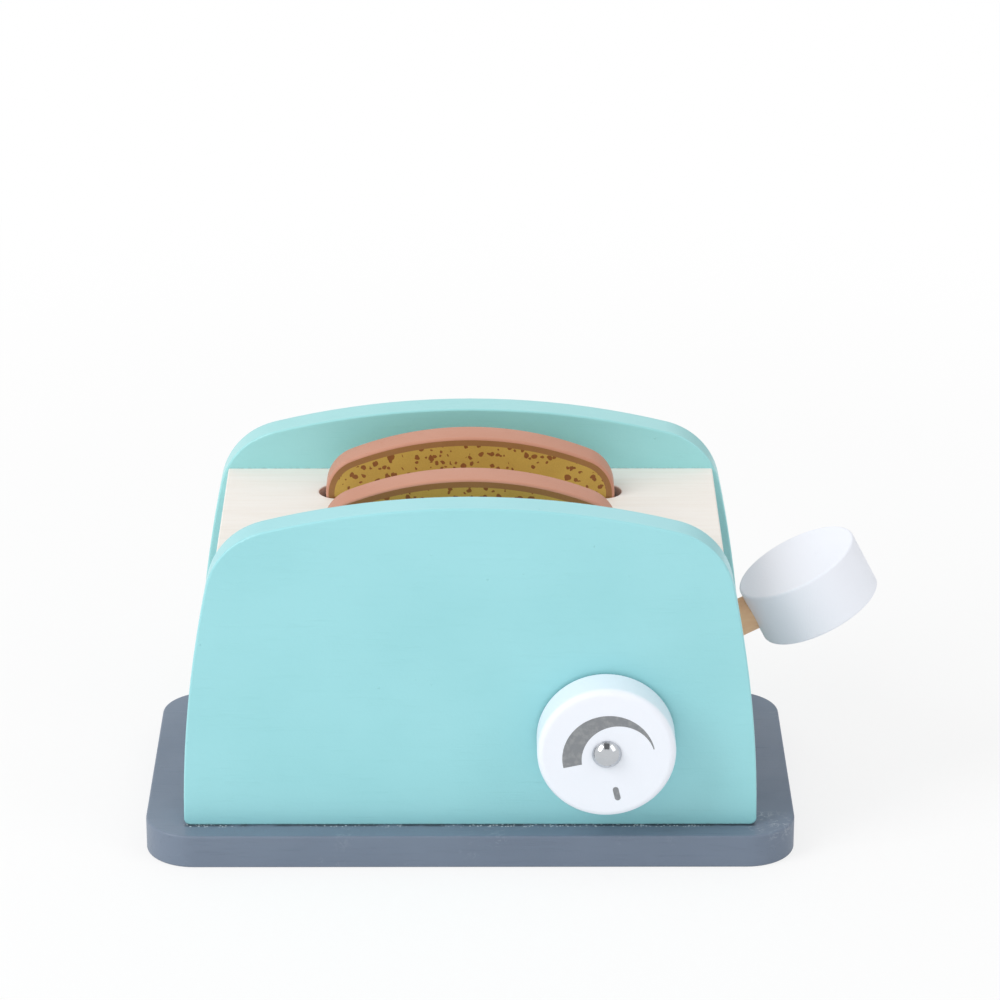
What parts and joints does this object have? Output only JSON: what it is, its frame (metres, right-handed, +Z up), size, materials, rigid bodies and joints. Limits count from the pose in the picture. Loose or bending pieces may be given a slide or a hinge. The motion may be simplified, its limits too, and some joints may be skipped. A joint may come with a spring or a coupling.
{
  "type": "toy toaster",
  "caption": "Wooden play toaster: slices of toast stand on a lift board that a see-saw lever with a disc knob raises through slots; the front has a turning dial.",
  "frame": {"origin": "on the table under the middle of the body between the two panels, on the base board's underside", "axes": "+X towards the lever, along the panels; -Y towards the dial on the front panel; +Z up"},
  "size_m": [0.2213, 0.1127, 0.1126],
  "materials": {
    "turquoise_paint": "satin",
    "slate_paint": "satin",
    "plain_wood": "matte",
    "white_paint": "satin",
    "toast_print": "matte",
    "steel": "satin",
    "chrome": "polished",
    "clear_nylon": "matte"
  },
  "bodies": {
    "root": {"base_board": "slate_paint", "base_screws": "steel", "front_panel": "turquoise_paint", "back_panel": "turquoise_paint", "front_panel_dowels": "plain_wood", "back_panel_dowels": "plain_wood", "left_end_wall": "turquoise_paint", "right_end_wall": "turquoise_paint", "top_plate": "plain_wood", "plate_dowels": "plain_wood", "left_guide_posts": "plain_wood", "right_guide_posts": "plain_wood", "pivot_pin": "steel", "lever_rest_pad": "plain_wood", "dial_screw": "chrome", "dial_washer": "clear_nylon"},
    "lever": {"lever_arm": "plain_wood", "lever_knob": "white_paint", "lift_bar": "plain_wood"},
    "carriage": {"lift_board": "plain_wood"},
    "front_toast": {"front_slice": "toast_print"},
    "back_toast": {"back_slice": "toast_print"},
    "dial": {"dial": "white_paint"}
  },
  "joints": [
    {"name": "lever_press", "type": "hinge", "parent": "root", "child": "lever", "pos_m": [0.07, 0, 0.05184], "axis": [0, 1, 0], "range_deg": [0, 27.33]},
    {"name": "carriage_lift", "type": "slide", "parent": "root", "child": "carriage", "axis": [0, 0, 1], "range_m": [0, 0.02798]},
    {"name": "front_slice_lift", "type": "slide", "parent": "carriage", "child": "front_toast", "axis": [0, 0, 1], "range_m": [0, 0.1]},
    {"name": "back_slice_lift", "type": "slide", "parent": "carriage", "child": "back_toast", "axis": [0, 0, 1], "range_m": [0, 0.1]},
    {"name": "dial_turn", "type": "hinge", "parent": "root", "child": "dial", "pos_m": [0.0402, -0.0458, 0.0401], "axis": [0, -1, 0], "continuous": true}
  ],
  "couplings": [
    {"joint": "carriage_lift", "follows": "lever_press", "m_per_rad": 0.058617}
  ]
}
